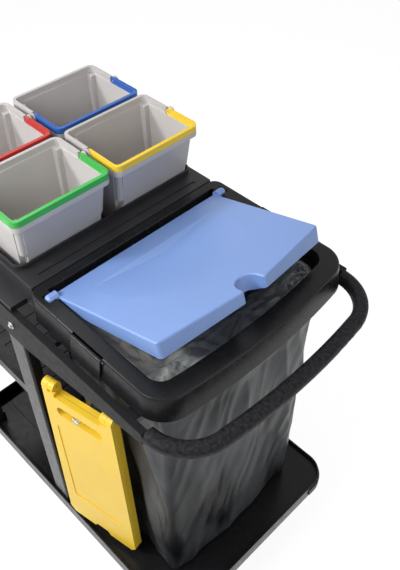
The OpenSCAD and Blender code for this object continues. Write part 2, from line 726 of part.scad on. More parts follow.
module lid_shape() {
  difference() {
    union() {
      difference() {
        union() {
          intersection() {
            translate([0, 0, -60]) linear_extrude(60 + lid_n - lid_edge) lid_plan(0);
            lid_wedge(lid_n + 1);
          }
          hull() {
            translate([0, 0, lid_n - lid_edge]) linear_extrude(0.1) lid_plan(0);
            translate([0, 0, lid_n - lid_edge * 0.5]) linear_extrude(0.1) lid_plan(-lid_edge * 0.14);
            translate([0, 0, lid_n - lid_edge * 0.18]) linear_extrude(0.1) lid_plan(-lid_edge * 0.43);
            translate([0, 0, lid_n - 0.1]) linear_extrude(0.1) lid_plan(-lid_edge);
          }
        }
        translate([0, 0, -60]) linear_extrude(60 + lid_n - lid_wall) lid_plan(-lid_wall);
      }
      translate([0, 0, -lid_wall]) dish_solid();
      intersection() {
        translate([lid_mid - notch_in, 0, -60]) cylinder(h = 60 + lid_n - 1, r = notch_r + lid_wall);
        translate([0, 0, -60]) linear_extrude(70) lid_plan(0);
        lid_wedge(lid_n);
      }
      for (y = [-1, 1]) translate([0, y * (lug_y + lug_w / 2 - 1), 0]) rotate([90, 0, 0]) {
        cylinder(h = lug_w + 2, r = lug_r, center = true);
      }
    }
    dish_solid();
    translate([lid_mid - notch_in, 0, -60]) cylinder(h = 80, r = notch_r);
    translate([lid_mid - notch_in, -notch_r * 0.9, -60]) cube([80, notch_r * 1.8, 80]);
    for (y = [-1, 1]) translate([0, y * (lug_y + lug_w / 2), 0]) rotate([90, 0, 0])
      cylinder(h = lug_w + 4, r = lid_pin_r + pin_fit, center = true);
  }
}

module lid() {
  color([0.36, 0.5, 0.8])
  translate([hx + axis_x, 0, deck_z - axis_drop]) rotate([0, -lid_open, 0]) lid_shape();
}

// Plan of a bucket's foot with stepped corners, inset by g
module bucket_plan(g) {
  difference() {
    square([foot_d - 2 * g, foot_w - 2 * g], center = true);
    for (x = [-1, 1], y = [-1, 1]) translate([x * (foot_d / 2 - g), y * (foot_w / 2 - g)])
      square(2 * step_c * 0.8, center = true);
  }
}

module half_rim(inset, sign) {
  intersection() {
    difference() {
      round_rect(rim_d, rim_w - 2 * inset, 17);
      round_rect(rim_d - 2 * bail_w, rim_w - 2 * inset - 2 * bail_w, 9.5);
    }
    translate([sign * rim_d, 0]) square([2 * rim_d, 2 * rim_w], center = true);
  }
}

module bucket_shape() {
  grow = [body_d / foot_d, body_w / foot_w];
  col_r = 9;
  col_z = tray_t + 25;
  col_d = foot_d + 2 * col_z * tan(slope_x);
  col_w = foot_w + 2 * col_z * tan(slope_y);
  difference() {
    union() {
      linear_extrude(bucket_h, scale = grow, slices = 1, segments = 1) bucket_plan(0);
      translate([0, 0, col_z]) linear_extrude(bucket_h - col_z - 2, scale = [body_d / col_d, body_w / col_w], slices = 1, segments = 1)
        for (x = [-1, 1], y = [-1, 1]) translate([x * (col_d / 2 - col_r - 1.5), y * (col_w / 2 - col_r - 1.5)])
          circle(col_r, $fn = 20);
      translate([0, 0, bucket_h - rim_h]) linear_extrude(rim_h) round_rect(rim_d, rim_w, 17);
      translate([0, 0, bucket_h - 1]) linear_extrude(bail_h + move_gap + 1) difference() {
        half_rim(0, -1);
        square([bail_h + 4, 2 * rim_w], center = true);
      }
      for (y = [-1, 1]) translate([0, y * (rim_w / 2 + 1.5), 0]) {
        translate([-10, -1.5, bucket_h - rim_h]) cube([20, 3, rim_h + 7]);
        translate([0, 0, pivot_z]) rotate([90, 0, 0]) cylinder(h = 3, r = 10, center = true);
        translate([0, -y * (bail_w / 2), pivot_z]) rotate([90, 0, 0]) cylinder(h = bail_w + 1, r = pivot_r, center = true);
      }
    }
    translate([0, 0, bucket_wall]) linear_extrude(bucket_h, scale = grow, slices = 1, segments = 1) bucket_plan(bucket_wall);
  }
}

function bucket_y(side) = side * pitch_y / 2 + (side < 0 ? bucket_push : 0);

module bucket(row, side) {
  color([0.55, 0.56, 0.59])
  translate([hx + bucket_rows[row], bucket_y(side), tray_z]) bucket_shape();
}

module bail_shape() {
  z0 = bucket_h + move_gap;
  inset = move_gap;
  difference() {
    union() {
      translate([0, 0, z0]) linear_extrude(bail_h) half_rim(inset, 1);
      for (y = [-1, 1]) translate([0, y * (rim_w / 2 - inset - bail_w / 2), pivot_z]) rotate([90, 0, 0])
        cylinder(h = bail_w, r = bail_h / 2, center = true);
    }
    translate([0, 0, z0 + bail_h - 1.5]) linear_extrude(2) difference() {
      translate([bail_h, 0]) round_rect(rim_d - 4, rim_w - 2 * inset - 5, 14);
      translate([bail_h, 0]) round_rect(rim_d - 11, rim_w - 2 * inset - 11, 11);
      translate([-rim_d + bail_h / 2 + 3, 0]) square([2 * rim_d, 2 * rim_w], center = true);
    }
    translate([0, 0, pivot_z]) rotate([90, 0, 0]) cylinder(h = 2 * rim_w, r = pivot_r + pin_fit, center = true);
  }
}

module bail(row, side) {
  translate([hx + bucket_rows[row], bucket_y(side), tray_z]) bail_shape();
}

// Places a child drawn about the sign's middle, width along X and outer side towards -Y
module at_sign() {
  translate([hx + sign_x, -sign_y, 0]) rotate(sign_turn) children();
}

// Outline of one leaf in its own plane, X across and Y up
module leaf_outline() {
  top = grip_z + shoulder_h - sign_t / 2;
  foot = grip_z + shoulder_h - sign_h;
  difference() {
    polygon([[-sign_foot / 2, foot + 20], [-sign_foot / 2 + 14, foot], [-26, foot], [-18, foot + 14], [18, foot + 14],
      [26, foot], [sign_foot / 2 - 14, foot], [sign_foot / 2, foot + 20], [sign_top / 2, top], [-sign_top / 2, top]]);
    translate([-hand_w / 2, grip_z]) square([hand_w, sign_h]);
    translate([0, grip_z - grip_h - hand_h / 2]) round_rect(hand_w, hand_h, 12);
  }
}

// A leaf; side -1 is the outer one. The knuckles of the two leaves lie next to each other along the hinge
module leaf(side) {
  w = (sign_top - hand_w) / 4;
  k0 = side < 0 ? hand_w / 2 + w : hand_w / 2;
  difference() {
    union() {
      difference() {
        translate([0, side > 0 ? sign_t / 2 : -sign_gap / 2, 0]) rotate([90, 0, 0]) linear_extrude(leaf_t) leaf_outline();
        translate([0, side * sign_t / 2, grip_z - grip_h - hand_h - 215]) rotate([90, 0, 0])
          linear_extrude(4, center = true) round_rect(sign_top - 36, 330, 12);
        for (x = [-1, 1]) translate([x * (hand_w / 2 + (side < 0 ? w / 2 : 3 * w / 2)), 0, hinge_z])
          cube([w + 0.6, 2 * sign_t, sign_t + 2], center = true);
      }
      for (x = [-1, 1]) translate([x * (k0 + w / 2), 0, hinge_z]) rotate([0, 90, 0])
        cylinder(h = w - 0.6, r = sign_t / 2, center = true);
    }
    translate([0, 0, hinge_z]) rotate([0, 90, 0]) cylinder(h = 2 * sign_top, r = sign_pin_r + pin_fit, center = true);
  }
}

module sign_inner() {
  color([0.96, 0.76, 0.12])
  at_sign() leaf(1);
}

module sign_outer() {
  color([0.96, 0.76, 0.12])
  at_sign() leaf(-1);
}

module sign_pins() {
  color([0.7, 0.71, 0.73])
  at_sign() for (x = [-1, 1]) translate([x * (hand_w / 2 + (sign_top - hand_w) / 4), 0, hinge_z]) rotate([0, 90, 0])
    cylinder(h = (sign_top - hand_w) / 2, r = sign_pin_r, center = true);
}

// Steel peg on the left arm: a strap down behind the sign and a tongue through its hand slot
module sign_peg() {
  yi = -arm_in;
  yb = -sign_y + sign_t / 2 + 7;
  zt = grip_z - grip_h - move_gap;
  color([0.66, 0.67, 0.69])
  translate([hx + sign_x - peg_w / 2, 0, 0]) rotate([90, 0, 90]) linear_extrude(peg_w)
    polygon([[yi, arm_z - 12], [yi, peg_z], [yb, peg_z - 18], [yb, zt], [-sign_y - sign_t / 2 - 7, zt],
      [-sign_y - sign_t / 2 - 9, zt - peg_t], [yb + peg_t, zt - peg_t], [yb + peg_t, peg_z - 16],
      [yi + peg_t, peg_z + 3], [yi + peg_t, arm_z - 12]]);
}

base_platform();
corner_bumpers();
castor_mounts();
at_castor(0) fork();  // fork_fl
at_castor(1) fork();  // fork_fr
at_castor(2) fork();  // fork_rl
at_castor(3) fork();  // fork_rr
at_castor(0) axle();  // axle_fl
at_castor(1) axle();  // axle_fr
at_castor(2) axle();  // axle_rl
at_castor(3) axle();  // axle_rr
at_castor(0) wheel_core();  // wheel_fl
at_castor(1) wheel_core();  // wheel_fr
at_castor(2) wheel_core();  // wheel_rl
at_castor(3) wheel_core();  // wheel_rr
at_castor(0) tyre();  // tyre_fl
at_castor(1) tyre();  // tyre_fr
at_castor(2) tyre();  // tyre_rl
at_castor(3) tyre();  // tyre_rr
post(0, -1);  // post_fl
post(0, 1);  // post_fr
post(1, -1);  // post_rl
post(1, 1);  // post_rr
shelf();
deck();
arm(-1);  // arm_left
arm(1);  // arm_right
arm_bolts();
push_handle();
bag_holder();
bag();
bag_ring();
clip(-1);  // clip_left
clip(1);  // clip_right
lid_pins();
lid();
bucket(0, -1);  // bucket_green
bucket(0, 1);  // bucket_yellow
bucket(1, -1);  // bucket_red
bucket(1, 1);  // bucket_blue
color([0.24, 0.66, 0.3]) bail(0, -1);  // bail_green
color([0.96, 0.77, 0.16]) bail(0, 1);  // bail_yellow
color([0.8, 0.16, 0.14]) bail(1, -1);  // bail_red
color([0.16, 0.36, 0.74]) bail(1, 1);  // bail_blue
sign_peg();
sign_inner();
sign_outer();
sign_pins();
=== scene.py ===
"""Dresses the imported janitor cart: lid, bag ring, deck, bag, buckets, frame, castors and floor sign."""

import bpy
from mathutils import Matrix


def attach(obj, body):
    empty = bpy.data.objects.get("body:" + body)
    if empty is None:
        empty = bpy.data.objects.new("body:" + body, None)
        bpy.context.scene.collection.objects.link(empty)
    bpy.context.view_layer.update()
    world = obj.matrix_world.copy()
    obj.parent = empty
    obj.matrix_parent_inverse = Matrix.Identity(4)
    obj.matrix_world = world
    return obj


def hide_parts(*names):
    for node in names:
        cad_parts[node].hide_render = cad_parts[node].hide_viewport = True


bl_info = {
    "name": "Janitor cart",
    "version": (1, 0, 0),
    "blender": (4, 5, 0),
    "location": "3D View > Sidebar > Cart",
    "description": "Builds the visible pieces and finishes of a janitor cart round its packed frame",
    "category": "Object",
}

import math

import bmesh
import bpy
from bpy.props import FloatProperty, FloatVectorProperty, IntProperty, PointerProperty
from mathutils import Matrix, Vector, noise

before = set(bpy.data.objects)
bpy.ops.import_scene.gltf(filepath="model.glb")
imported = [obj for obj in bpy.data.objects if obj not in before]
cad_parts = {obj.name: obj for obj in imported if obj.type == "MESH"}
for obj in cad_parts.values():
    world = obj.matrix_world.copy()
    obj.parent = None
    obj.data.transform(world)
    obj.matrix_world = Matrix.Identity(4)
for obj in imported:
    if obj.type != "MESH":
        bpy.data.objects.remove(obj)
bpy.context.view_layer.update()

# Places shared by several pieces, in metres
HINGE_X = 0.0235
TOP_Z = 1.0
LID_AXIS = Vector((HINGE_X + 0.008, 0.0, 0.994))
LID_OPEN = math.radians(17.4)
SIDES = (-1, 1)
UP = Vector((0, 0, 1))
DOWN = Vector((0, 0, -1))

# Plans of the bag ring and of its mouth, ahead of the hinge line
BOW_R = 1.576
RING_REAR = -0.034
RING_FRONT = 0.365
RING_HALF = 0.26
RING_FRONT_R = 0.058
RING_REAR_R = 0.024
MOUTH_REAR = -0.012
MOUTH_FRONT = 0.323
MOUTH_HALF = 0.227
MOUTH_FRONT_R = 0.03
MOUTH_REAR_R = 0.024

# Edges sharper than this many degrees stay sharp
SHARP = 35.0


def colour(code):
    """Linear colour of a six digit code."""
    parts = [int(code[i:i + 2], 16) / 255 for i in (0, 2, 4)]
    return tuple(c / 12.92 if c <= 0.04045 else ((c + 0.055) / 1.055) ** 2.4 for c in parts)


def length(name, text, default):
    """A length that a user may change."""
    return FloatProperty(name=name, description=text, default=default, min=0.0, unit="LENGTH")


def tint(name, text, code):
    """A colour that a user may change."""
    return FloatVectorProperty(name=name, description=text, default=colour(code), min=0, max=1,
                               subtype="COLOR")


class CartSizes(bpy.types.PropertyGroup):
    """Sizes of the moulded pieces and of the film."""

    lid_wall: length("Lid wall", "Wall of the lid moulding", 0.003)
    lid_edge: length("Lid edge", "Radius of the lid's top edge", 0.0035)
    dish_depth: length("Recess depth", "Depth of the shallow recess in the lid's top", 0.008)
    ring_wall: length("Ring wall", "Wall of the bag ring", 0.004)
    ring_roll: length("Ring edge", "Rolled edge round the bag ring's top", 0.0055)
    soft_edge: length("Soft edge", "Rounding of the deck's moulded edges", 0.0015)
    fold_depth: length("Fold depth", "Depth of the bag's hanging folds", 0.011)
    crumple: length("Crumple", "Depth of the small creases in the film", 0.0045)
    film_rows: IntProperty(name="Film rows", description="Rows down the hanging film", default=110, min=20)
    film_columns: IntProperty(name="Film columns", description="Columns round the film", default=420, min=60)


class CartColours(bpy.types.PropertyGroup):
    """Colours of the finishes."""

    lid_blue: tint("Lid", "Blue of the lid", "7b9cda")
    black: tint("Black plastic", "Charcoal of the moulded frame", "1d1d1f")
    grip: tint("Grip", "Black of the push bar", "19191b")
    bucket: tint("Buckets", "Grey of the buckets", "c8c4c2")
    green: tint("Green bail", "Green of the first bail", "42ba50")
    yellow: tint("Yellow bail", "Yellow of the second bail", "ffd53c")
    red: tint("Red bail", "Red of the third bail", "c8322c")
    blue: tint("Blue bail", "Blue of the fourth bail", "2f64b8")
    sign: tint("Floor sign", "Yellow of the floor sign", "ffd337")
    film: tint("Bag", "Grey of the bag's film", "5c5f62")
    steel: tint("Steel", "Zinc plated steel", "b9bbbf")
    wheel: tint("Wheel", "Grey of the wheel cores", "8d9095")
    tyre: tint("Tyre", "Grey of the tyres", "515458")
    bumper: tint("Bumpers", "Grey of the corner bumpers", "55585c")
    floor: tint("Floor", "Pale studio floor", "f4f4f4")


def sizes():
    return bpy.context.scene.cart_sizes


def colours():
    return bpy.context.scene.cart_colours


# Finishes

def new_finish(name):
    """An empty node material with its shader, and the object coordinates that patterns read."""
    made = bpy.data.materials.new(name)
    made.use_nodes = True
    nodes = made.node_tree.nodes
    shader = next(n for n in nodes if n.type == "BSDF_PRINCIPLED")
    place = nodes.new("ShaderNodeTexCoord")
    return made, nodes, made.node_tree.links, shader, place.outputs["Object"]


def noise_node(nodes, links, place, scale, detail, stretch=None, swirl=0.0):
    """Noise over the object, stretched along the axes or swirled where asked."""
    if stretch:
        turn = nodes.new("ShaderNodeMapping")
        turn.inputs["Scale"].default_value = stretch
        links.new(place, turn.inputs["Vector"])
        place = turn.outputs["Vector"]
    made = nodes.new("ShaderNodeTexNoise")
    made.inputs["Scale"].default_value = scale
    made.inputs["Detail"].default_value = detail
    made.inputs["Distortion"].default_value = swirl
    links.new(place, made.inputs["Vector"])
    return made.outputs["Fac"]


def spread(nodes, links, value, low=0.0, high=1.0, start=0.3, end=0.7):
    """Maps a pattern from start and end onto low and high."""
    made = nodes.new("ShaderNodeMapRange")
    made.inputs["From Min"].default_value = start
    made.inputs["From Max"].default_value = end
    made.inputs["To Min"].default_value = low
    made.inputs["To Max"].default_value = high
    links.new(value, made.inputs["Value"])
    return made.outputs["Result"]


def two_tone(nodes, links, value, first, second):
    """Mixes two colours by a pattern. Each is a colour or the output of another node."""
    made = nodes.new("ShaderNodeMix")
    made.data_type = "RGBA"
    for name, source in (("A", first), ("B", second)):
        if isinstance(source, bpy.types.NodeSocket):
            links.new(source, made.inputs[name])
        else:
            made.inputs[name].default_value = (*source, 1)
    links.new(value, made.inputs["Factor"])
    return made.outputs["Result"]


def raised(nodes, links, value, depth, strength, under=None):
    """Bump of a pattern, over another bump where given."""
    made = nodes.new("ShaderNodeBump")
    made.inputs["Distance"].default_value = depth
    made.inputs["Strength"].default_value = strength
    links.new(value, made.inputs["Height"])
    if under:
        links.new(under, made.inputs["Normal"])
    return made.outputs["Normal"]


def shade(rgb, factor):
    """A colour made darker or lighter."""
    return tuple(min(1.0, c * factor) for c in rgb)


def tinted(rgb, factors):
    """A colour with each channel scaled on its own."""
    return [c * k for c, k in zip(rgb, factors)]


def dusty(rgb, factor):
    """The paler tone of dust or rubbing on a colour."""
    return shade([c + 0.03 for c in rgb], factor)


def moulded_finish(name, rgb, rough=0.42, grain=700.0, grain_depth=0.00025, vary=0.08, scuff=0.0,
                   gloss=0.5, patch=7.0):
    """Moulded plastic: fine spark grain, colour drift in patches, uneven sheen and light rubbing marks."""
    made, nodes, links, shader, place = new_finish(name)
    drift = spread(nodes, links, noise_node(nodes, links, place, scale=patch, detail=2.0))
    tone = two_tone(nodes, links, drift, shade(rgb, 1 - vary), shade(rgb, 1 + vary))
    if scuff:
        rub = noise_node(nodes, links, place, scale=34.0, detail=6.0, stretch=(1.0, 5.0, 9.0))
        marks = spread(nodes, links, rub, high=scuff, start=0.62, end=0.8)
        tone = two_tone(nodes, links, marks, tone, dusty(rgb, 2.4))
    links.new(tone, shader.inputs["Base Color"])
    sheen = noise_node(nodes, links, place, scale=55.0, detail=4.0)
    links.new(spread(nodes, links, sheen, low=rough - 0.05, high=rough + 0.07), shader.inputs["Roughness"])
    spark = noise_node(nodes, links, place, scale=grain, detail=2.0)
    links.new(raised(nodes, links, spark, grain_depth, strength=0.3), shader.inputs["Normal"])
    shader.inputs["Specular IOR Level"].default_value = gloss
    return made


def steel_finish(name, rgb):
    """Zinc plate: drawn streaks and a patchy bright skin."""
    made, nodes, links, shader, place = new_finish(name)
    patch = spread(nodes, links, noise_node(nodes, links, place, scale=60.0, detail=5.0))
    tone = two_tone(nodes, links, patch, shade(rgb, 0.8), shade(rgb, 1.08))
    links.new(tone, shader.inputs["Base Color"])
    streak = noise_node(nodes, links, place, scale=240.0, detail=3.0, stretch=(1.0, 1.0, 0.12))
    links.new(spread(nodes, links, streak, low=0.26, high=0.44), shader.inputs["Roughness"])
    links.new(raised(nodes, links, streak, depth=0.0001, strength=0.25), shader.inputs["Normal"])
    shader.inputs["Metallic"].default_value = 1.0
    return made


def rubber_finish(name, rgb):
    """Matt rubber with a dusty bloom."""
    made, nodes, links, shader, place = new_finish(name)
    cloud = noise_node(nodes, links, place, scale=42.0, detail=5.0)
    dust = spread(nodes, links, cloud, start=0.4, end=0.75)
    links.new(two_tone(nodes, links, dust, rgb, dusty(rgb, 1.25)), shader.inputs["Base Color"])
    shader.inputs["Roughness"].default_value = 0.72
    grit = noise_node(nodes, links, place, scale=900.0, detail=2.0)
    links.new(raised(nodes, links, grit, depth=0.0003, strength=0.35), shader.inputs["Normal"])
    return made


def film_finish(name, rgb, painted_fold_contrast, rough):
    """Hanging film: smoky grey with painted light and shade in long lighter and darker panels, standing in for
    light on its folds, and soft fine creases.
    """
    made, nodes, links, shader, place = new_finish(name)
    # Painted light and shade: long panels of the film's grey, made lighter and darker, stand in for light
    # falling on the folds
    panel = noise_node(nodes, links, place, scale=10.0, detail=2.0, stretch=(1.0, 1.0, 0.3))
    share = spread(nodes, links, panel, start=0.4, end=0.6)
    tone = two_tone(nodes, links, share, shade(rgb, 1 - painted_fold_contrast), shade(rgb, 1 + painted_fold_contrast))
    links.new(tone, shader.inputs["Base Color"])
    fine = noise_node(nodes, links, place, scale=45.0, detail=2.0, stretch=(1.0, 1.0, 0.3))
    links.new(raised(nodes, links, fine, depth=0.002, strength=0.1), shader.inputs["Normal"])
    shader.inputs["Roughness"].default_value = rough
    shader.inputs["Specular IOR Level"].default_value = 0.07
    return made


def crinkled_finish(name, rgb):
    """Crinkled film in the mouth: brownish greys with painted shade in the hollows of its swirling folds, and a
    painted highlight where the film bulges up at the near corner.
    """
    made, nodes, links, shader, place = new_finish(name)
    warmth = noise_node(nodes, links, place, scale=11.0, detail=2.0)
    hue = spread(nodes, links, warmth, start=0.4, end=0.6)
    light = two_tone(nodes, links, hue, tinted(rgb, (1.2, 1.02, 0.84)), tinted(rgb, (1.02, 1.02, 0.95)))
    swirl = noise_node(nodes, links, place, scale=17.0, detail=5.0, swirl=1.6)
    # Painted highlight: a round patch of lighter colour at the near corner, where the bulging film catches the
    # light
    corner = (HINGE_X + 0.288, -0.19, 0.96)
    reach = 0.07
    near = nodes.new("ShaderNodeMapping")
    near.vector_type = "TEXTURE"
    near.inputs["Location"].default_value = corner
    near.inputs["Scale"].default_value = (reach, reach, reach)
    links.new(place, near.inputs["Vector"])
    bulge = nodes.new("ShaderNodeTexGradient")
    bulge.gradient_type = "SPHERICAL"
    links.new(near.outputs["Vector"], bulge.inputs["Vector"])
    pale = nodes.new("ShaderNodeMath")
    pale.operation = "MULTIPLY_ADD"
    pale.inputs[1].default_value = 0.14
    links.new(bulge.outputs["Fac"], pale.inputs[0])
    links.new(swirl, pale.inputs[2])
    share = spread(nodes, links, pale.outputs["Value"], start=0.38, end=0.58)
    # Painted shade and light: the film is darkened to half in the swirl's hollows and keeps its lit tone on the
    # crests
    links.new(two_tone(nodes, links, share, shade(rgb, 0.5), light), shader.inputs["Base Color"])
    folds = raised(nodes, links, swirl, depth=0.012, strength=0.5)
    small = noise_node(nodes, links, place, scale=150.0, detail=3.0)
    links.new(raised(nodes, links, small, 0.0012, 0.4, folds), shader.inputs["Normal"])
    shader.inputs["Roughness"].default_value = 0.14
    shader.inputs["Specular IOR Level"].default_value = 0.5
    return made


def finish(name):
    """A finish by its name, made once."""
    full = "finish_" + name
    found = bpy.data.materials.get(full)
    if found:
        return found
    c = colours()
    moulded = {
        "black_plastic": dict(rgb=c.black, rough=0.24, scuff=0.10, grain_depth=0.0002, gloss=0.17),
        # Painted light: the deck's black is made 2.2 times paler than the frame's, for the light the deck
        # misses in the shade of the lid and buckets; it is also rougher
        "deck_black_painted_light": dict(rgb=shade(c.black, 2.2), rough=0.36, scuff=0.08, grain_depth=0.0003, gloss=0.25),
        "arm_black": dict(rgb=c.black, rough=0.5, scuff=0.14, grain_depth=0.0004, gloss=0.1),
        "grip_black": dict(rgb=shade(c.grip, 2.2), rough=0.5, grain=420.0, grain_depth=0.0006, scuff=0.10,
                           gloss=0.1, vary=0.6, patch=150.0),
        "lid_blue": dict(rgb=c.lid_blue, rough=0.42, vary=0.025, grain_depth=0.00015, gloss=0.9),
        "bucket_grey": dict(rgb=c.bucket, rough=0.38, vary=0.04, scuff=0.03),
        "bail_green": dict(rgb=c.green, rough=0.33, vary=0.05),
        "bail_yellow": dict(rgb=c.yellow, rough=0.33, vary=0.04),
        "bail_red": dict(rgb=c.red, rough=0.33, vary=0.05),
        "bail_blue": dict(rgb=c.blue, rough=0.33, vary=0.05),
        "sign_yellow": dict(rgb=c.sign, rough=0.4, vary=0.04, scuff=0.02),
        "wheel_grey": dict(rgb=c.wheel, rough=0.45, scuff=0.06),
    }
    if name in moulded:
        return moulded_finish(full, **moulded[name])
    if name == "steel":
        return steel_finish(full, c.steel)
    if name == "tyre_grey":
        return rubber_finish(full, c.tyre)
    if name == "bumper_rubber":
        return rubber_finish(full, c.bumper)
    if name == "bag_film":
        return film_finish(full, shade(c.film, 0.34), painted_fold_contrast=0.9, rough=0.3)
    # Painted light: the film in the mouth takes the bag's grey made 3.5 times lighter, for the light it misses
    # in the lid's shade
    if name == "gathered_film":
        return crinkled_finish(full, shade(c.film, 3.5))
    raise ValueError("no finish named " + name)


# Outlines

def clamp(value):
    """A value kept between 0 and 1."""
    return min(max(value, 0), 1)


def ripple(x, y, z):
    """Smooth noise at a point."""
    return noise.noise(Vector((x, y, z)))


def rounded(corners, cuts, steps):
    """Corner points of a flat outline, with each corner cut back by that length and rounded."""
    flat = bmesh.new()
    verts = [flat.verts.new((x, y, 0)) for x, y in corners]
    flat.faces.new(verts)
    for v, cut in zip(verts, cuts):
        if cut:
            bmesh.ops.bevel(flat, geom=[v], offset=cut, offset_type="OFFSET", segments=steps, profile=0.5,
                            affect="VERTICES", material=-1)
    flat.faces.ensure_lookup_table()
    points = [(v.co.x, v.co.y) for v in flat.faces[0].verts]
    flat.free()
    start = min(range(len(points)), key=lambda i: (round(points[i][0], 5), points[i][1]))
    return points[start:] + points[:start]


def bow_outline(x0, x1, half, front_r, rear_r, bow_r):
    """Rounded rectangle with a bowed front edge, in the cart's plan."""
    a = math.asin((half - front_r) / (bow_r - front_r))
    cx = x1 - bow_r
    turns = [a * (k / 8 - 1) for k in range(17)]
    bow = [(cx + bow_r * math.cos(t), bow_r * math.sin(t)) for t in turns]
    px, py = bow[-1]
    corner_x = px - math.sin(a) * (half - py) / math.cos(a)
    corners = [(x0, -half), (corner_x, -half), *bow, (corner_x, half), (x0, half)]
    cut = front_r * math.tan((math.pi / 2 - a) / 2)
    cuts = [rear_r, cut, *[0] * len(bow), cut, rear_r]
    return rounded([(x + HINGE_X, y) for x, y in corners], cuts, 14)


def ring_outline(g, rear=1.0):
    """The bag ring's plan grown by g; the rear edge stays upright."""
    return bow_outline(RING_REAR - min(g * rear, 0.0005), RING_FRONT + g, RING_HALF + g,
                       max(RING_FRONT_R + g, 0.002), max(RING_REAR_R + g, 0.002), BOW_R + g)


def mouth_outline(g):
    """The ring's opening, inset by g at the sides and the front."""
    return bow_outline(MOUTH_REAR + min(g, 0), MOUTH_FRONT - g, MOUTH_HALF - g,
                       max(MOUTH_FRONT_R - g / 2, 0.008), MOUTH_REAR_R, BOW_R - g)


def tuck_outline(g):
    """Plan of the slack film in the mouth, inset by g."""
    return bow_outline(0.4 * g - 0.006, MOUTH_FRONT - g, MOUTH_HALF - g,
                       max(MOUTH_FRONT_R - g / 2, 0.004), max(MOUTH_REAR_R - g / 2, 0.004), BOW_R - g)


def inset(points, distance):
    """A closed plan loop moved inwards."""
    loop = [Vector(p) for p in points]
    turn = 1 if sum(a.cross(b) for a, b in zip(loop[-1:] + loop, loop)) > 0 else -1
    made = []
    for i, p in enumerate(loop):
        before = (p - loop[i - 1]).normalized()
        after = (loop[(i + 1) % len(loop)] - p).normalized()
        out = Vector((-before.y - after.y, before.x + after.x)) / (1 + before.dot(after))
        made.append(tuple(p + out * distance * turn))
    return made


def at_height(points, z):
    """A plan loop at a height."""
    return [(x, y, z) for x, y in points]


def quarter(steps):
    """Pairs of run and rise along a quarter round, from 0, 0 to 1, 1."""
    for k in range(steps + 1):
        t = math.pi / 2 * k / steps
        yield 1 - math.cos(t), math.sin(t)


# Mesh helpers

def edges_of(bm, verts):
    """Edges of a closed loop of vertices."""
    return [bm.edges.get((verts[i - 1], verts[i])) for i in range(len(verts))]


def loft(bm, levels):
    """Draws the first loop of points and extrudes it from level to level; gives the loops of vertices."""
    loops = [[bm.verts.new(p) for p in levels[0]]]
    for i in range(len(loops[0])):
        bm.edges.new((loops[0][i - 1], loops[0][i]))
    for points in levels[1:]:
        made = bmesh.ops.extrude_edge_only(bm, edges=edges_of(bm, loops[-1]))["geom"]
        fresh = {g for g in made if isinstance(g, bmesh.types.BMVert)}
        after = [next(e.other_vert(v) for e in v.link_edges if e.other_vert(v) in fresh) for v in loops[-1]]
        for v, p in zip(after, points):
            v.co = p
        loops.append(after)
    return loops


def fill(bm, *loops):
    """Flat fill between loops, the later ones being holes."""
    edges = [e for loop in loops for e in edges_of(bm, loop)]
    bmesh.ops.triangle_fill(bm, use_beauty=True, use_dissolve=False, edges=edges)


def box_in(bm, low, high):
    """A box between two corners."""
    low, high = Vector(low), Vector(high)
    place = Matrix.Translation((low + high) / 2) @ Matrix.Diagonal((*(high - low), 1))
    bmesh.ops.create_cube(bm, size=1.0, matrix=place)


def rod_in(bm, start, end, radius, segments=32):
    """A round bar between two points; gives its vertices."""
    start, end = Vector(start), Vector(end)
    turn = (end - start).to_track_quat("Z", "Y").to_matrix().to_4x4()
    place = Matrix.Translation((start + end) / 2) @ turn
    return bmesh.ops.create_cone(bm, cap_ends=True, segments=segments, radius1=radius, radius2=radius,
                                 depth=(end - start).length, matrix=place)["verts"]


def new_mesh(bm, name):
    """Ends a bmesh as a mesh."""
    mesh = bpy.data.meshes.new(name)
    bm.to_mesh(mesh)
    bm.free()
    return mesh


def new_object(name, data):
    """A new object in the scene."""
    made = bpy.data.objects.new(name, data)
    bpy.context.scene.collection.objects.link(made)
    return made


def smooth(mesh, sharp=SHARP):
    """Shades a mesh smooth, apart from its sharp edges."""
    mesh.polygons.foreach_set("use_smooth", [True] * len(mesh.polygons))
    mesh.set_sharp_from_angle(angle=math.radians(sharp))


def piece(bm, name, body, material, stands_for=(), sharp=SHARP, faces=None):
    """Turns a bmesh into a piece that rides on a body. faces is the way that most of its area should face."""
    bmesh.ops.remove_doubles(bm, verts=bm.verts, dist=1e-6)
    bmesh.ops.recalc_face_normals(bm, faces=bm.faces)
    if faces and sum(f.normal.dot(faces) * f.calc_area() for f in bm.faces) < 0:
        bmesh.ops.reverse_faces(bm, faces=bm.faces)
    mesh = new_mesh(bm, name)
    smooth(mesh, sharp)
    mesh.materials.append(material)
    made = new_object(name, mesh)
    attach(made, body)
    if stands_for:
        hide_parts(*stands_for)
    return made


def walled(made, thickness):
    """Gives a moulded skin its wall, inwards."""
    wall = made.modifiers.new("wall", "SOLIDIFY")
    wall.thickness = thickness
    wall.offset = -1
    wall.use_even_offset = True
    wall.use_quality_normals = True


def even(made):
    """Shades the flats flat and the roundings round."""
    normals = made.modifiers.new("even_shading", "WEIGHTED_NORMAL")
    normals.keep_sharp = True
    normals.weight = 80


def cut_out(made, cutter):
    """Cuts the closed shells of a bmesh out of a piece, for good."""
    bmesh.ops.recalc_face_normals(cutter, faces=cutter.faces)
    tool = new_object("cutter", new_mesh(cutter, "cutter"))
    cut = made.modifiers.new("cut", "BOOLEAN")
    cut.operation = "DIFFERENCE"
    cut.solver = "EXACT"
    cut.use_self = True
    cut.object = tool
    graph = bpy.context.evaluated_depsgraph_get()
    graph.update()
    done = bpy.data.meshes.new_from_object(made.evaluated_get(graph))
    made.modifiers.clear()
    made.data = done
    bpy.data.objects.remove(tool)
    smooth(done)


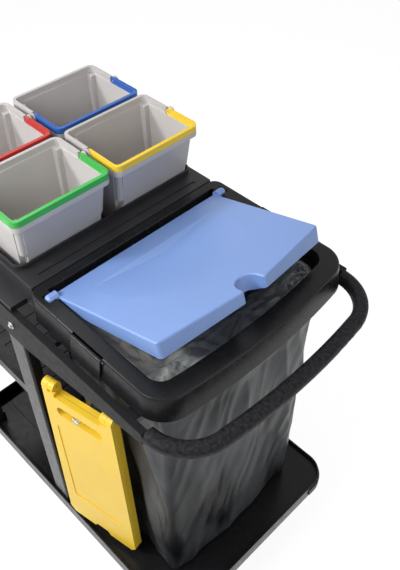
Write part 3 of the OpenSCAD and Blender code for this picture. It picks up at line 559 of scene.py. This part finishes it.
def dress(name, look, edge=None):
    """Gives a node of the frame its finish and soft moulded edges."""
    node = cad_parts[name]
    node.data.materials.clear()
    node.data.materials.append(finish(look))
    node.data.polygons.foreach_set("use_smooth", [True] * len(node.data.polygons))
    joined = node.modifiers.new("joined", "WELD")
    joined.merge_threshold = 2e-5
    flats = node.modifiers.new("flats", "DECIMATE")
    flats.decimate_type = "DISSOLVE"
    flats.angle_limit = math.radians(0.6)
    width = sizes().soft_edge if edge is None else edge
    if width:
        soft = node.modifiers.new("soft_edges", "BEVEL")
        soft.width = width
        soft.segments = 3
        soft.limit_method = "ANGLE"
        soft.angle_limit = math.radians(38)
        soft.use_clamp_overlap = True
    even(node)


# Stage

def aimed(direction):
    """Turn of a lamp or camera that looks along a direction."""
    return Vector(direction).to_track_quat("-Z", "Y").to_euler()


def shows_background(nodes, links):
    """One for rays that should find the white background: from the camera, mirrored or passed through."""
    path = nodes.new("ShaderNodeLightPath")
    seen = path.outputs["Is Camera Ray"]
    for kind in ("Is Glossy Ray", "Is Transmission Ray"):
        either = nodes.new("ShaderNodeMath")
        either.operation = "MAXIMUM"
        links.new(seen, either.inputs[0])
        links.new(path.outputs[kind], either.inputs[1])
        seen = either.outputs["Value"]
    return seen


class CART_OT_stage(bpy.types.Operator):
    """Pale floor, soft studio light and the camera"""

    bl_idname = "cart.stage"
    bl_label = "Stage"

    # Name, place, aim, size in metres and watts
    LAMPS = (
        ("key", (-1.25, -1.95, 2.15), (0.05, -0.05, 0.95), 0.35, 32.0),
        ("left", (0.0, -1.3, 2.0), (0.05, -0.1, 0.95), 0.8, 14.0),
        ("fill", (2.1, 0.3, 1.7), (0.0, 0.0, 0.9), 1.6, 10.0),
        ("top", (0.3, -1.0, 3.2), (0.1, 0.0, 1.0), 1.6, 3.0),
        ("rear", (-1.5, -0.1, 2.7), (0.15, 0.0, 1.0), 1.4, 15.0),
    )
    EYE = (0.8702, -0.6612, 1.9493)
    LOOK = (-0.4971, 0.4919, -0.7148)
    LENS = 43.07
    FLOOR_SIZE = 9.0
    FLOOR_GLOW = 1.3
    GLOW_SHARE = 0.68
    SKY_LIGHT = 0.24

    def execute(self, context):
        self.floor()
        self.world(context.scene)
        for lamp in self.LAMPS:
            self.lamp(*lamp)
        self.camera(context.scene)
        context.scene.view_settings.view_transform = "Standard"
        return {"FINISHED"}

    def floor(self):
        bm = bmesh.new()
        bmesh.ops.create_grid(bm, x_segments=4, y_segments=4, size=self.FLOOR_SIZE)
        mesh = new_mesh(bm, "floor")
        made, nodes, links, shader, _ = new_finish("floor_paint")
        shader.inputs["Base Color"].default_value = (*colours().floor, 1)
        shader.inputs["Roughness"].default_value = 0.9
        glow = nodes.new("ShaderNodeEmission")
        glow.inputs["Strength"].default_value = self.FLOOR_GLOW
        share = spread(nodes, links, shows_background(nodes, links), high=self.GLOW_SHARE, start=0.0, end=1.0)
        mix = nodes.new("ShaderNodeMixShader")
        links.new(share, mix.inputs["Fac"])
        links.new(shader.outputs["BSDF"], mix.inputs[1])
        links.new(glow.outputs["Emission"], mix.inputs[2])
        links.new(mix.outputs["Shader"], nodes["Material Output"].inputs["Surface"])
        mesh.materials.append(made)
        new_object("floor", mesh)

    def world(self, scene):
        sky = bpy.data.worlds.new("studio")
        sky.use_nodes = True
        nodes, links = sky.node_tree.nodes, sky.node_tree.links
        back = nodes["Background"]
        back.inputs["Color"].default_value = (1, 1, 1, 1)
        strength = spread(nodes, links, shows_background(nodes, links), low=self.SKY_LIGHT, start=0.0, end=1.0)
        links.new(strength, back.inputs["Strength"])
        scene.world = sky

    def lamp(self, name, at, aim, size, watts):
        data = bpy.data.lights.new(name, "AREA")
        data.shape = "SQUARE"
        data.size = size
        data.energy = watts
        made = new_object(name, data)
        made.location = at
        made.rotation_euler = aimed(Vector(aim) - Vector(at))

    def camera(self, scene):
        eye = bpy.data.cameras.new("camera")
        eye.sensor_width = 36.0
        eye.lens = self.LENS
        eye.clip_end = 50.0
        holder = new_object("camera", eye)
        holder.location = self.EYE
        holder.rotation_euler = aimed(self.LOOK)
        scene.camera = holder


# Pieces

class CART_OT_lid(bpy.types.Operator):
    """Blue lid: skirted shell with a shallow recess, a finger notch and two hinge lugs"""

    bl_idname = "cart.lid"
    bl_label = "Lid"

    # Half of the plan as distance ahead of the hinge and aside, with the cut of each corner
    HALF = [(-0.010, 0.2231), (0.015, 0.2222), (0.0683, 0.2202), (0.2958, 0.2117), (0.323, 0.0252),
            (0.284, 0.0252)]
    CUTS = [0.006, 0, 0, 0.0075, 0.007, 0.0245]
    # Height of the top, and of the skirt's foot by the distance ahead of the hinge
    TOP = 0.0011
    FOOT = [(-0.015, -0.004), (0.015, -0.004), (0.0683, -0.0272), (0.297, -0.034), (0.326, -0.0225)]
    # Hinge lugs: inner and outer end, radius and rounding
    LUG_IN = 0.2195
    LUG_OUT = 0.2445
    LUG_R = 0.011
    LUG_ROUND = 0.0075
    # Recess: point of its cone, reach, rear edge, length of the rear slope and softness of its edges
    APEX = 0.062
    REACH = 0.17
    REAR = 0.047
    SLOPE = 0.019
    SOFT = 0.12
    EASE = 0.02
    # Recess mesh: middle, steps along half of the arc and of the rear edge, and rings
    MIDDLE = 0.115
    ARC_STEPS = 60
    REAR_STEPS = 30
    RINGS = 40

    def foot(self, s):
        """Height of the skirt's foot at a distance ahead of the hinge."""
        for (s0, n0), (s1, n1) in zip(self.FOOT, self.FOOT[1:]):
            if s <= s1:
                break
        return n0 + (n1 - n0) * (s - s0) / (s1 - s0)

    def depth(self, s, y):
        """Depth of the recess at a point: a flat cone cut off along a slope near the hinge, with soft edges."""
        cone = 1 - math.hypot(s - self.APEX, y) / self.REACH
        fall = (s - self.REAR) / self.SLOPE
        blend = max(self.SOFT - abs(cone - fall), 0) / self.SOFT
        low = max(min(cone, fall) - blend * blend * self.SOFT / 4, 0)
        return sizes().dish_depth * (math.sqrt(low * low + self.EASE ** 2) - self.EASE)

    def dish(self, bm):
        """The recess, drawn from its rim to its middle. Gives its outer loop."""
        turn = math.acos((self.REAR - self.APEX) / self.REACH)
        turns = [turn * (k / self.ARC_STEPS - 1) for k in range(2 * self.ARC_STEPS + 1)]
        rim = [(self.APEX + self.REACH * math.cos(a), self.REACH * math.sin(a)) for a in turns]
        end = rim[-1][1]
        rim += [(self.REAR, end * (1 - k / self.REAR_STEPS)) for k in range(1, 2 * self.REAR_STEPS)]
        middle = Vector((self.MIDDLE, 0.0))
        levels = []
        for k in range(self.RINGS - 3):
            loop = [Vector(point).lerp(middle, (k / self.RINGS) ** 1.6) for point in rim]
            levels.append([(s, y, self.TOP - self.depth(s, y)) for s, y in loop])
        loops = loft(bm, levels)
        fill(bm, loops[-1])
        return loops[0]

    def shell(self, place):
        size = sizes()
        bm = bmesh.new()
        corners = [(s, -y) for s, y in self.HALF] + self.HALF[::-1]
        plan = rounded(corners, self.CUTS + self.CUTS[::-1], 9)
        levels = [[(s, y, self.foot(s)) for s, y in plan]]
        for run, rise in quarter(6):
            edge = inset(plan, size.lid_edge * run)
            levels.append(at_height(edge, self.TOP - size.lid_edge * (1 - rise)))
        loops = loft(bm, levels)
        fill(bm, loops[-1], self.dish(bm))
        bmesh.ops.transform(bm, matrix=place, verts=bm.verts)
        made = piece(bm, "lid_shell", "lid", finish("lid_blue"), ["lid"], faces=UP)
        walled(made, size.lid_wall)
        even(made)

    def lugs(self, place):
        bm = bmesh.new()
        for side in SIDES:
            rod = rod_in(bm, (0, side * self.LUG_IN, 0), (0, side * self.LUG_OUT, 0), self.LUG_R, 40)
            outer = {v for v in rod if abs(v.co.y) > (self.LUG_IN + self.LUG_OUT) / 2}
            rim = [e for e in bm.edges if outer.issuperset(e.verts)]
            bmesh.ops.bevel(bm, geom=rim, offset=self.LUG_ROUND, offset_type="OFFSET", segments=6,
                            profile=0.5, affect="EDGES", material=-1, clamp_overlap=True)
        bmesh.ops.transform(bm, matrix=place, verts=bm.verts)
        even(piece(bm, "lid_lugs", "lid", finish("lid_blue")))

    def execute(self, context):
        place = Matrix.Translation(LID_AXIS) @ Matrix.Rotation(-LID_OPEN, 4, "Y")
        self.shell(place)
        self.lugs(place)
        return {"FINISHED"}


class CART_OT_ring(bpy.types.Operator):
    """Bag ring with its rolled edge, lid seat and collar, its side clips and the lid's pins"""

    bl_idname = "cart.ring"
    bl_label = "Bag ring"

    # Growth of the plan and drop below the top, from the skirt's foot up
    SKIRT = ((0.006, 0.057), (0.0052, 0.05))
    ROLL_DROP = 0.006
    LIP = 0.0025
    # Inset of the mouth and drop below the top: mouth wall, lid seat and collar
    SEAT = ((0.0003, 0.0315), (0.0013, 0.033), (0.0048, 0.033), (0.006, 0.0344), (0.0062, 0.05))
    # Cutters: heights, room for the lid's rear edge, lug pockets and clip windows
    CUT_Z = (0.94, 1.01)
    ROOM_X = (-0.012, 0.026)
    ROOM_HALF = 0.2268
    POCKET_Y = (0.216, 0.246)
    POCKET_R = 0.0135
    WINDOW_X = (0.108, 0.195)
    WINDOW_Y = (0.255, 0.28)

    def cut_box(self, bm, xs, ys):
        """A box cutter between two distances ahead of the hinge and two places aside."""
        low, high = zip((HINGE_X + xs[0], HINGE_X + xs[1]), sorted(ys), self.CUT_Z)
        box_in(bm, low, high)

    def cutters(self):
        """Room for the lid's rear edge, the pockets of its lugs and the windows of the side clips."""
        bm = bmesh.new()
        self.cut_box(bm, self.ROOM_X, (-self.ROOM_HALF, self.ROOM_HALF))
        for side in SIDES:
            inner, outer = [(LID_AXIS.x, side * y, LID_AXIS.z) for y in self.POCKET_Y]
            rod_in(bm, inner, outer, self.POCKET_R)
            self.cut_box(bm, self.WINDOW_X, [side * y for y in self.WINDOW_Y])
        return bm

    def execute(self, context):
        size = sizes()
        levels = [at_height(ring_outline(g), TOP_Z - drop) for g, drop in self.SKIRT]
        for run, rise in quarter(6):
            rolled = ring_outline(-size.ring_roll * run, 0.2)
            levels.append(at_height(rolled, TOP_Z - self.ROLL_DROP * (1 - rise)))
        for run, rise in quarter(4):
            levels.append(at_height(mouth_outline(-self.LIP * (1 - rise)), TOP_Z - self.LIP * run))
        for g, drop in self.SEAT:
            levels.append(at_height(mouth_outline(g), TOP_Z - drop))
        bm = bmesh.new()
        loft(bm, levels)
        made = piece(bm, "bag_ring_moulding", "ring", finish("black_plastic"), ["bag_ring"],
                     faces=UP)
        walled(made, size.ring_wall)
        cut_out(made, self.cutters())
        even(made)
        for name in ("clip_left", "clip_right"):
            dress(name, "black_plastic", edge=0.001)
        dress("lid_pins", "steel", edge=0.0006)
        return {"FINISHED"}


class CART_OT_deck(bpy.types.Operator):
    """Deck with its ledge, groove and bucket tray"""

    bl_idname = "cart.deck"
    bl_label = "Deck"

    def execute(self, context):
        dress("deck", "deck_black_painted_light")
        return {"FINISHED"}


class CART_OT_bag(bpy.types.Operator):
    """Bag: a hanging film with folds, its cuff over the holder and the gathered film in the mouth"""

    bl_idname = "cart.bag"
    bl_label = "Bag"

    # Growth of the ring's plan and height: outside of the cuff, over the holder's rim, and down the wall
    CUFF = (-0.009, 0.959)
    RIM = ((-0.0125, 0.9621), (-0.018, 0.9622), (-0.0262, 0.9621))
    WALL = ((-0.0272, 0.957), (-0.0275, 0.941), (-0.034, 0.82), (-0.037, 0.32), (-0.042, 0.215))
    # The cuff's hem: held up at the holder's tabs, hanging beside them and at front and rear
    HELD_Z = 0.9475
    SIDE_HEM_Z = 0.918
    HEM_Z = 0.931
    SIDE_Y = 0.225
    TABS_X = (0.045, 0.285)
    TAB_HALF = 0.021
    TAB_EASE = 0.03
    # Heights where the wall's folds start and where they are full
    FOLD_TOP = 0.945
    FOLD_EASE = 0.12
    # The base: its middle ahead of the hinge, its sag, its crumple and its rows
    BASE_X = 0.165
    BASE_SAG = 0.0465
    BASE_CRUMPLE = 0.012
    BASE_ROWS = 15
    # Inset of the mouth and height along the slack film, from the collar to the dark inside
    SLACK = (
        (-0.0045, 0.9465), (0.002, 0.9465), (0.0072, 0.947), (0.0084, 0.951), (0.0084, 0.959),
        (0.0092, 0.9645), (0.0115, 0.967), (0.016, 0.9665), (0.024, 0.964), (0.034, 0.961), (0.044, 0.958),
        (0.053, 0.955), (0.0625, 0.951), (0.073, 0.945), (0.084, 0.936), (0.094, 0.923), (0.102, 0.906),
        (0.106, 0.884),
    )
    # Where the slack film comes loose, where its front starts, and the height that it keeps under
    LOOSE_FROM = 0.0095
    LOOSE_EASE = 0.014
    FRONT_FROM = 0.2
    FRONT_EASE = 0.06
    FRONT_RISE = 0.009
    SLACK_TOP = 0.9705
    # The bulge at the near corner
    BULGE_AT = (0.288, -0.186)
    BULGE_R = 0.034
    BULGE_RISE = 0.011

    def walk(self, points, count):
        """Points at equal steps round an outline, from the middle of its rear edge."""
        ring = [Vector(p) for p in points]
        back = min(p.x for p in ring)
        rear = [abs(p.x - back) < 1e-4 for p in ring]
        start = next(i for i in range(len(ring)) if rear[i] and rear[i - 1] and ring[i].y * ring[i - 1].y <= 0)
        middle = Vector((back, 0.0))
        order = [middle, *ring[start:], *ring[:start], middle]
        total = sum((b - a).length for a, b in zip(order, order[1:]))
        made = []
        at = 0.0
        k = 0
        left = (order[1] - order[0]).length
        for i in range(count):
            goal = total * i / count
            while at + left < goal:
                at += left
                k += 1
                left = (order[k + 1] - order[k]).length
            made.append(order[k].lerp(order[k + 1], (goal - at) / max(left, 1e-9)))
        return made

    def outward(self, loop):
        """Unit normals of a closed plan loop, away from its middle."""
        middle = sum(loop, Vector((0, 0))) / len(loop)
        made = []
        for i, p in enumerate(loop):
            along = loop[(i + 1) % len(loop)] - loop[i - 1]
            out = Vector((along.y, -along.x)).normalized()
            made.append(out if out.dot(p - middle) > 0 else -out)
        return made

    def hem(self, x, y):
        """Height of the cuff's hem: it hangs between the holder's tabs and is held up above them."""
        low = self.HEM_Z
        share = 1.0
        if abs(y) > self.SIDE_Y:
            near = min(abs(x - HINGE_X - tab) for tab in self.TABS_X)
            low = self.SIDE_HEM_Z
            share = clamp((near - self.TAB_HALF) / self.TAB_EASE)
        wave = 0.004 * ripple(x * 30, y * 30, 3.0)
        return self.HELD_Z + (low - self.HELD_Z) * share + wave

    def fold(self, p, z, amount):
        """Fold of the hanging film, inwards: long slanting folds, crossing ones and small creases."""
        size = sizes()
        drape = abs(ripple(p.x * 9, p.y * 9 + z * 2.4, z * 1.1))
        second = abs(ripple(p.x * 21 + 7, p.y * 21 - z * 7, z * 2.0 + 5))
        small = abs(ripple(p.x * 60, p.y * 60 + 3, z * 26))
        return amount * (size.fold_depth * (drape * 2.2 + second * 0.55) + size.crumple * 0.12 * small)

    def cuff(self, n):
        """Rows of the cuff, from its hem up to the holder's rim."""
        growth, top = self.CUFF
        loop = self.walk(ring_outline(growth), n)
        out = self.outward(loop)
        rows = []
        for f in (0.0, 0.25, 0.5, 0.75, 1.0):
            row = []
            for p, o in zip(loop, out):
                low = self.hem(p.x, p.y)
                wave = 0.0025 * ripple(p.x * 55, p.y * 55, f) * (1 - f)
                row.append((p.x + o.x * wave, p.y + o.y * wave, low + (top - low) * f))
            rows.append(row)
        return rows

    def wall(self, n, count):
        """Rows down the hanging wall, whose folds grow below the holder."""
        heights = [z for g, z in self.WALL]
        loops = [self.walk(ring_outline(g), n) for g, z in self.WALL]
        norms = [self.outward(loop) for loop in loops]
        rows = []
        for k in range(count + 1):
            z = heights[0] + (heights[-1] - heights[0]) * k / count
            i = max(j for j in range(len(heights) - 1) if heights[j] >= z - 1e-9)
            f = (heights[i] - z) / (heights[i] - heights[i + 1])
            grow = clamp((self.FOLD_TOP - z) / self.FOLD_EASE)
            row = []
            for upper, lower, o in zip(loops[i], loops[i + 1], norms[i]):
                p = upper.lerp(lower, f)
                d = self.fold(p, z, grow)
                row.append((p.x - o.x * d, p.y - o.y * d, z))
            rows.append(row)
        return rows

    def base(self, last):
        """Rows from the wall's foot to the middle of the crumpled base."""
        foot = self.WALL[-1][1]
        middle = Vector((HINGE_X + self.BASE_X, 0.0))
        rows = []
        for k in range(1, self.BASE_ROWS):
            f = k / self.BASE_ROWS
            z = foot - self.BASE_SAG * math.sin(min(f * 2.2, 1.0) * math.pi / 2)
            pull = 0.02 * f * f + max(f - 0.3, 0) / 0.7 * 0.97
            row = []
            for x, y, _ in last:
                p = Vector((x, y)).lerp(middle, min(pull, 0.985))
                bump = abs(ripple(p.x * 25, p.y * 25, 9.0)) * self.BASE_CRUMPLE * f
                row.append((p.x, p.y, z + bump))
            rows.append(row)
        return rows

    def film(self, n, count):
        """The hanging film from the cuff's hem to the base."""
        rows = self.cuff(n)
        rows += [at_height(self.walk(ring_outline(g), n), z) for g, z in self.RIM]
        rows += self.wall(n, count)
        rows += self.base(rows[-1])
        bm = bmesh.new()
        loops = loft(bm, rows)
        fill(bm, loops[-1])
        piece(bm, "bag_film", "frame", finish("bag_film"), ["bag"], sharp=180, faces=DOWN)

    def gather(self, n):
        """The slack film gathered inside the ring's collar."""
        path = []
        for (g0, z0), (g1, z1) in zip(self.SLACK, self.SLACK[1:]):
            path += [(g0 + (g1 - g0) * t / 3, z0 + (z1 - z0) * t / 3) for t in range(3)]
        path.append(self.SLACK[-1])
        crumple = sizes().crumple
        rows = []
        for g, height in path:
            loop = self.walk(tuck_outline(g), n)
            out = self.outward(loop)
            loose = clamp((g - self.LOOSE_FROM) / self.LOOSE_EASE)
            row = []
            for p, o in zip(loop, out):
                rel = p.x - HINGE_X
                front = clamp((rel - self.FRONT_FROM) / self.FRONT_EASE)
                along, across = (p.y, p.x) if front > 0.5 else (p.x, p.y)
                swell = ripple(p.x * 13, p.y * 13, 2.0)
                crease = abs(ripple(across * 40 + 4, along * 14, 5.0))
                wrinkle = ripple(across * 110, along * 45 + 9, 4.0)
                near_x = (rel - self.BULGE_AT[0]) / self.BULGE_R
                near_y = (p.y - self.BULGE_AT[1]) / self.BULGE_R
                bulge = self.BULGE_RISE * math.exp(-near_x ** 2 - near_y ** 2)
                lift = 0.006 * swell + 2.4 * crumple * (crease - 0.25) + 0.0008 * wrinkle + bulge
                z = min(height + loose * lift, self.SLACK_TOP + self.FRONT_RISE * front)
                aside = 0.0012 * wrinkle * loose
                row.append((p.x - o.x * aside, p.y - o.y * aside, z))
            rows.append(row)
        bm = bmesh.new()
        loft(bm, rows)
        piece(bm, "bag_gather", "frame", finish("gathered_film"), sharp=180)

    def execute(self, context):
        size = sizes()
        self.film(size.film_columns, size.film_rows)
        self.gather(size.film_columns)
        return {"FINISHED"}


class CART_OT_buckets(bpy.types.Operator):
    """Four buckets and their coloured bails"""

    bl_idname = "cart.buckets"
    bl_label = "Buckets"

    def execute(self, context):
        for name in ("green", "yellow", "red", "blue"):
            dress("bucket_" + name, "bucket_grey", edge=0.0012)
            dress("bail_" + name, "bail_" + name, edge=0.0012)
        return {"FINISHED"}


class CART_OT_frame(bpy.types.Operator):
    """Posts, shelf, arms, bolts, push handle, bag holder and base"""

    bl_idname = "cart.frame"
    bl_label = "Frame"

    def execute(self, context):
        for name in ("post_fl", "post_fr", "post_rl", "post_rr", "bag_holder"):
            dress(name, "black_plastic", edge=0.001)
        for name in ("shelf", "base_platform"):
            dress(name, "black_plastic", edge=0.0012)
        for name in ("arm_left", "arm_right"):
            dress(name, "arm_black", edge=0.003)
        dress("push_handle", "grip_black", edge=0.0015)
        dress("corner_bumpers", "bumper_rubber", edge=0.002)
        dress("arm_bolts", "steel", edge=0.0006)
        return {"FINISHED"}


class CART_OT_castors(bpy.types.Operator):
    """Swivel castors: mounts, forks, axles, wheel cores and tyres"""

    bl_idname = "cart.castors"
    bl_label = "Castors"

    def execute(self, context):
        dress("castor_mounts", "steel", edge=0.0006)
        for corner in ("fl", "fr", "rl", "rr"):
            dress("fork_" + corner, "black_plastic", edge=0.0008)
            dress("axle_" + corner, "steel", edge=0.0006)
            dress("wheel_" + corner, "wheel_grey", edge=0.0006)
            dress("tyre_" + corner, "tyre_grey", edge=0.0)
        return {"FINISHED"}


class CART_OT_sign(bpy.types.Operator):
    """Folded floor sign and the steel peg it hangs on"""

    bl_idname = "cart.sign"
    bl_label = "Floor sign"

    def execute(self, context):
        for name in ("sign_inner", "sign_outer"):
            dress(name, "sign_yellow", edge=0.0025)
        dress("sign_pins", "steel", edge=0.0005)
        dress("sign_peg", "steel", edge=0.0008)
        return {"FINISHED"}


OPERATORS = (CART_OT_stage, CART_OT_lid, CART_OT_ring, CART_OT_deck, CART_OT_bag, CART_OT_buckets,
             CART_OT_frame, CART_OT_castors, CART_OT_sign)


class CART_PT_panel(bpy.types.Panel):
    """Lists the cart's pieces"""

    bl_idname = "CART_PT_panel"
    bl_label = "Janitor cart"
    bl_space_type = "VIEW_3D"
    bl_region_type = "UI"
    bl_category = "Cart"

    def draw(self, context):
        for kind in OPERATORS:
            self.layout.operator(kind.bl_idname)
        for group in (context.scene.cart_sizes, context.scene.cart_colours):
            box = self.layout.box()
            for name in group.__annotations__:
                box.prop(group, name)


CLASSES = (CartSizes, CartColours, *OPERATORS, CART_PT_panel)


def register():
    for kind in CLASSES:
        bpy.utils.register_class(kind)
    bpy.types.Scene.cart_sizes = PointerProperty(type=CartSizes)
    bpy.types.Scene.cart_colours = PointerProperty(type=CartColours)


def unregister():
    del bpy.types.Scene.cart_colours
    del bpy.types.Scene.cart_sizes
    for kind in reversed(CLASSES):
        bpy.utils.unregister_class(kind)


def main():
    register()
    bpy.ops.cart.stage()
    bpy.ops.cart.lid()
    bpy.ops.cart.ring()
    bpy.ops.cart.deck()
    bpy.ops.cart.bag()
    bpy.ops.cart.buckets()
    bpy.ops.cart.frame()
    bpy.ops.cart.castors()
    bpy.ops.cart.sign()


if __name__ == "__main__":
    main()
